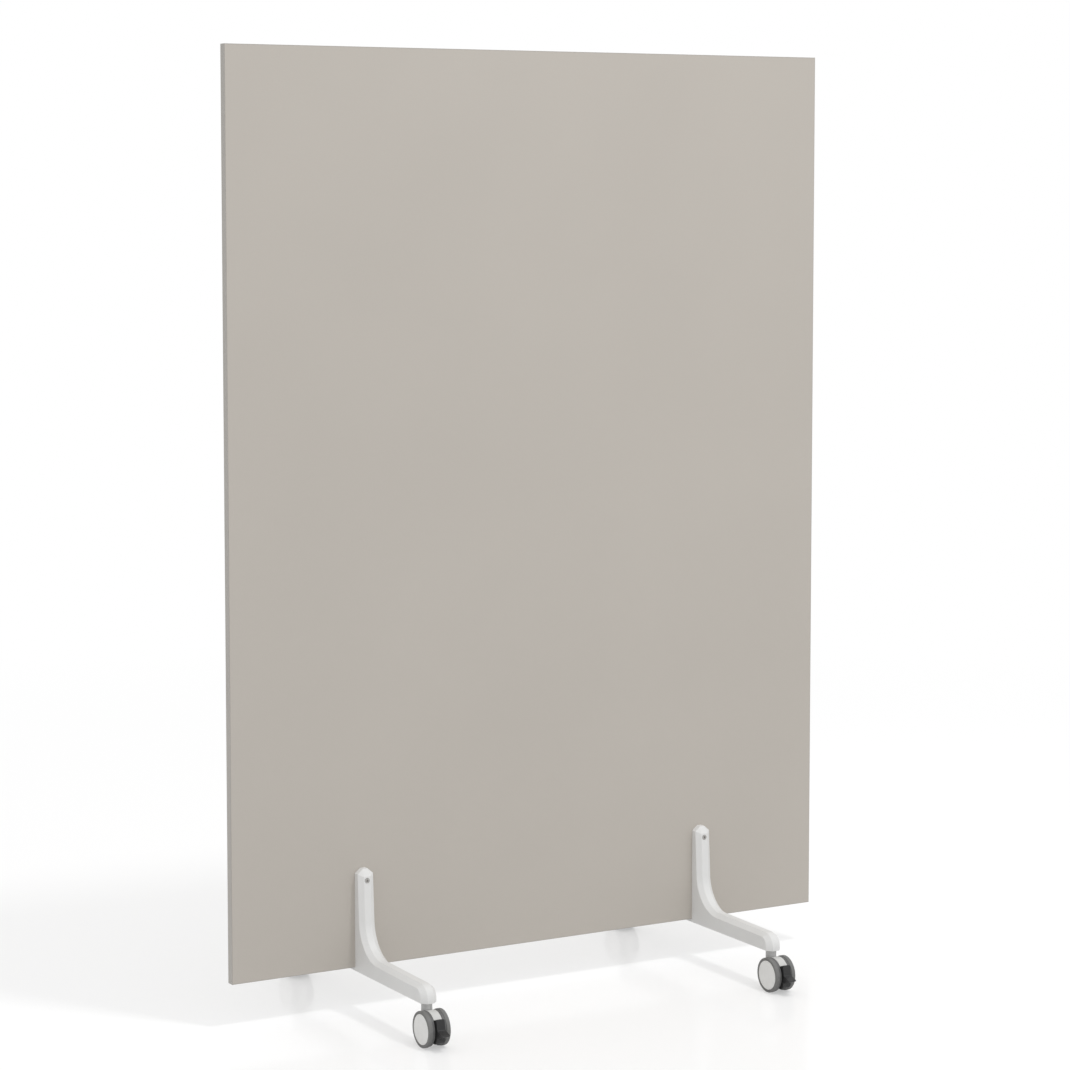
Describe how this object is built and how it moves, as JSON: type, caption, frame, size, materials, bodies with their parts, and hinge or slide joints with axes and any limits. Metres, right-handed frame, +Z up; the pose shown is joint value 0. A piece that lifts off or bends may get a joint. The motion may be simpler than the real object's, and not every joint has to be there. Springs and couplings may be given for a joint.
{
  "type": "rolling partition",
  "caption": "Rolling room divider: a plain laminated panel clamped between cast legs that stand on braked swivel casters.",
  "frame": {"origin": "on the floor, under the middle of the panel", "axes": "+Z up, +X along the panel to the right as seen from the front, -Y the front"},
  "size_m": [1.2, 0.6318, 1.678],
  "materials": {
    "core": "raw particle board",
    "laminate": "matt warm grey laminate",
    "edge_band": "matt warm grey edging",
    "leg_paint": "fine satin powder coat",
    "plated_steel": "satin nickel plate",
    "zinc_steel": "bright zinc",
    "housing_plastic": "satin moulded nylon",
    "collar_plastic": "satin moulded nylon",
    "wheel_plastic": "satin moulded nylon",
    "tread": "matt soft tread",
    "cap_plastic": "satin moulded nylon",
    "lever_plastic": "fine textured moulded nylon"
  },
  "bodies": {
    "root": {"panel_core": "core", "front_laminate": "laminate", "back_laminate": "laminate", "edge_band_left": "edge_band", "edge_band_right": "edge_band", "edge_band_top": "edge_band", "edge_band_bottom": "edge_band", "clamp_screws": "plated_steel", "sleeve_nuts": "plated_steel", "ledge_screws": "zinc_steel", "caster_stems": "zinc_steel", "leg_front_left": "leg_paint", "leg_front_right": "leg_paint", "leg_rear_left": "leg_paint", "leg_rear_right": "leg_paint"},
    "caster_front_left": {"housing_front_left": "housing_plastic", "neck_collar_front_left": "collar_plastic", "axle_front_left": "zinc_steel", "brake_pin_front_left": "zinc_steel"},
    "brake_front_left": {"brake_lever_front_left": "lever_plastic"},
    "wheel_front_left_outer": {"wheel_front_left_outer": "wheel_plastic", "tread_front_left_outer": "tread", "cap_front_left_outer": "cap_plastic"},
    "wheel_front_left_inner": {"wheel_front_left_inner": "wheel_plastic", "tread_front_left_inner": "tread", "cap_front_left_inner": "cap_plastic"},
    "caster_front_right": {"housing_front_right": "housing_plastic", "neck_collar_front_right": "collar_plastic", "axle_front_right": "zinc_steel", "brake_pin_front_right": "zinc_steel"},
    "brake_front_right": {"brake_lever_front_right": "lever_plastic"},
    "wheel_front_right_outer": {"wheel_front_right_outer": "wheel_plastic", "tread_front_right_outer": "tread", "cap_front_right_outer": "cap_plastic"},
    "wheel_front_right_inner": {"wheel_front_right_inner": "wheel_plastic", "tread_front_right_inner": "tread", "cap_front_right_inner": "cap_plastic"},
    "caster_rear_left": {"housing_rear_left": "housing_plastic", "neck_collar_rear_left": "collar_plastic", "axle_rear_left": "zinc_steel", "brake_pin_rear_left": "zinc_steel"},
    "brake_rear_left": {"brake_lever_rear_left": "lever_plastic"},
    "wheel_rear_left_outer": {"wheel_rear_left_outer": "wheel_plastic", "tread_rear_left_outer": "tread", "cap_rear_left_outer": "cap_plastic"},
    "wheel_rear_left_inner": {"wheel_rear_left_inner": "wheel_plastic", "tread_rear_left_inner": "tread", "cap_rear_left_inner": "cap_plastic"},
    "caster_rear_right": {"housing_rear_right": "housing_plastic", "neck_collar_rear_right": "collar_plastic", "axle_rear_right": "zinc_steel", "brake_pin_rear_right": "zinc_steel"},
    "brake_rear_right": {"brake_lever_rear_right": "lever_plastic"},
    "wheel_rear_right_outer": {"wheel_rear_right_outer": "wheel_plastic", "tread_rear_right_outer": "tread", "cap_rear_right_outer": "cap_plastic"},
    "wheel_rear_right_inner": {"wheel_rear_right_inner": "wheel_plastic", "tread_rear_right_inner": "tread", "cap_rear_right_inner": "cap_plastic"}
  },
  "joints": [
    {"name": "swivel_front_left", "type": "hinge", "parent": "root", "child": "caster_front_left", "pos_m": [-0.35, -0.247, 0.06], "axis": [0, 0, 1], "continuous": true},
    {"name": "brake_press_front_left", "type": "hinge", "parent": "caster_front_left", "child": "brake_front_left", "pos_m": [-0.35, -0.2789, 0.036], "axis": [1, 0, 0], "range_deg": [0, 18]},
    {"name": "spin_front_left_outer", "type": "hinge", "parent": "caster_front_left", "child": "wheel_front_left_outer", "pos_m": [-0.35, -0.2644, 0.031], "axis": [1, 0, 0], "continuous": true},
    {"name": "spin_front_left_inner", "type": "hinge", "parent": "caster_front_left", "child": "wheel_front_left_inner", "pos_m": [-0.35, -0.2644, 0.031], "axis": [1, 0, 0], "continuous": true},
    {"name": "swivel_front_right", "type": "hinge", "parent": "root", "child": "caster_front_right", "pos_m": [0.35, -0.247, 0.06], "axis": [0, 0, 1], "continuous": true},
    {"name": "brake_press_front_right", "type": "hinge", "parent": "caster_front_right", "child": "brake_front_right", "pos_m": [0.35, -0.2789, 0.036], "axis": [1, 0, 0], "range_deg": [0, 18]},
    {"name": "spin_front_right_outer", "type": "hinge", "parent": "caster_front_right", "child": "wheel_front_right_outer", "pos_m": [0.35, -0.2644, 0.031], "axis": [1, 0, 0], "continuous": true},
    {"name": "spin_front_right_inner", "type": "hinge", "parent": "caster_front_right", "child": "wheel_front_right_inner", "pos_m": [0.35, -0.2644, 0.031], "axis": [1, 0, 0], "continuous": true},
    {"name": "swivel_rear_left", "type": "hinge", "parent": "root", "child": "caster_rear_left", "pos_m": [-0.35, 0.247, 0.06], "axis": [0, 0, 1], "continuous": true},
    {"name": "brake_press_rear_left", "type": "hinge", "parent": "caster_rear_left", "child": "brake_rear_left", "pos_m": [-0.35, 0.2789, 0.036], "axis": [-1, 0, 0], "range_deg": [0, 18]},
    {"name": "spin_rear_left_outer", "type": "hinge", "parent": "caster_rear_left", "child": "wheel_rear_left_outer", "pos_m": [-0.35, 0.2644, 0.031], "axis": [1, 0, 0], "continuous": true},
    {"name": "spin_rear_left_inner", "type": "hinge", "parent": "caster_rear_left", "child": "wheel_rear_left_inner", "pos_m": [-0.35, 0.2644, 0.031], "axis": [1, 0, 0], "continuous": true},
    {"name": "swivel_rear_right", "type": "hinge", "parent": "root", "child": "caster_rear_right", "pos_m": [0.35, 0.247, 0.06], "axis": [0, 0, 1], "continuous": true},
    {"name": "brake_press_rear_right", "type": "hinge", "parent": "caster_rear_right", "child": "brake_rear_right", "pos_m": [0.35, 0.2789, 0.036], "axis": [-1, 0, 0], "range_deg": [0, 18]},
    {"name": "spin_rear_right_outer", "type": "hinge", "parent": "caster_rear_right", "child": "wheel_rear_right_outer", "pos_m": [0.35, 0.2644, 0.031], "axis": [1, 0, 0], "continuous": true},
    {"name": "spin_rear_right_inner", "type": "hinge", "parent": "caster_rear_right", "child": "wheel_rear_right_inner", "pos_m": [0.35, 0.2644, 0.031], "axis": [1, 0, 0], "continuous": true}
  ]
}
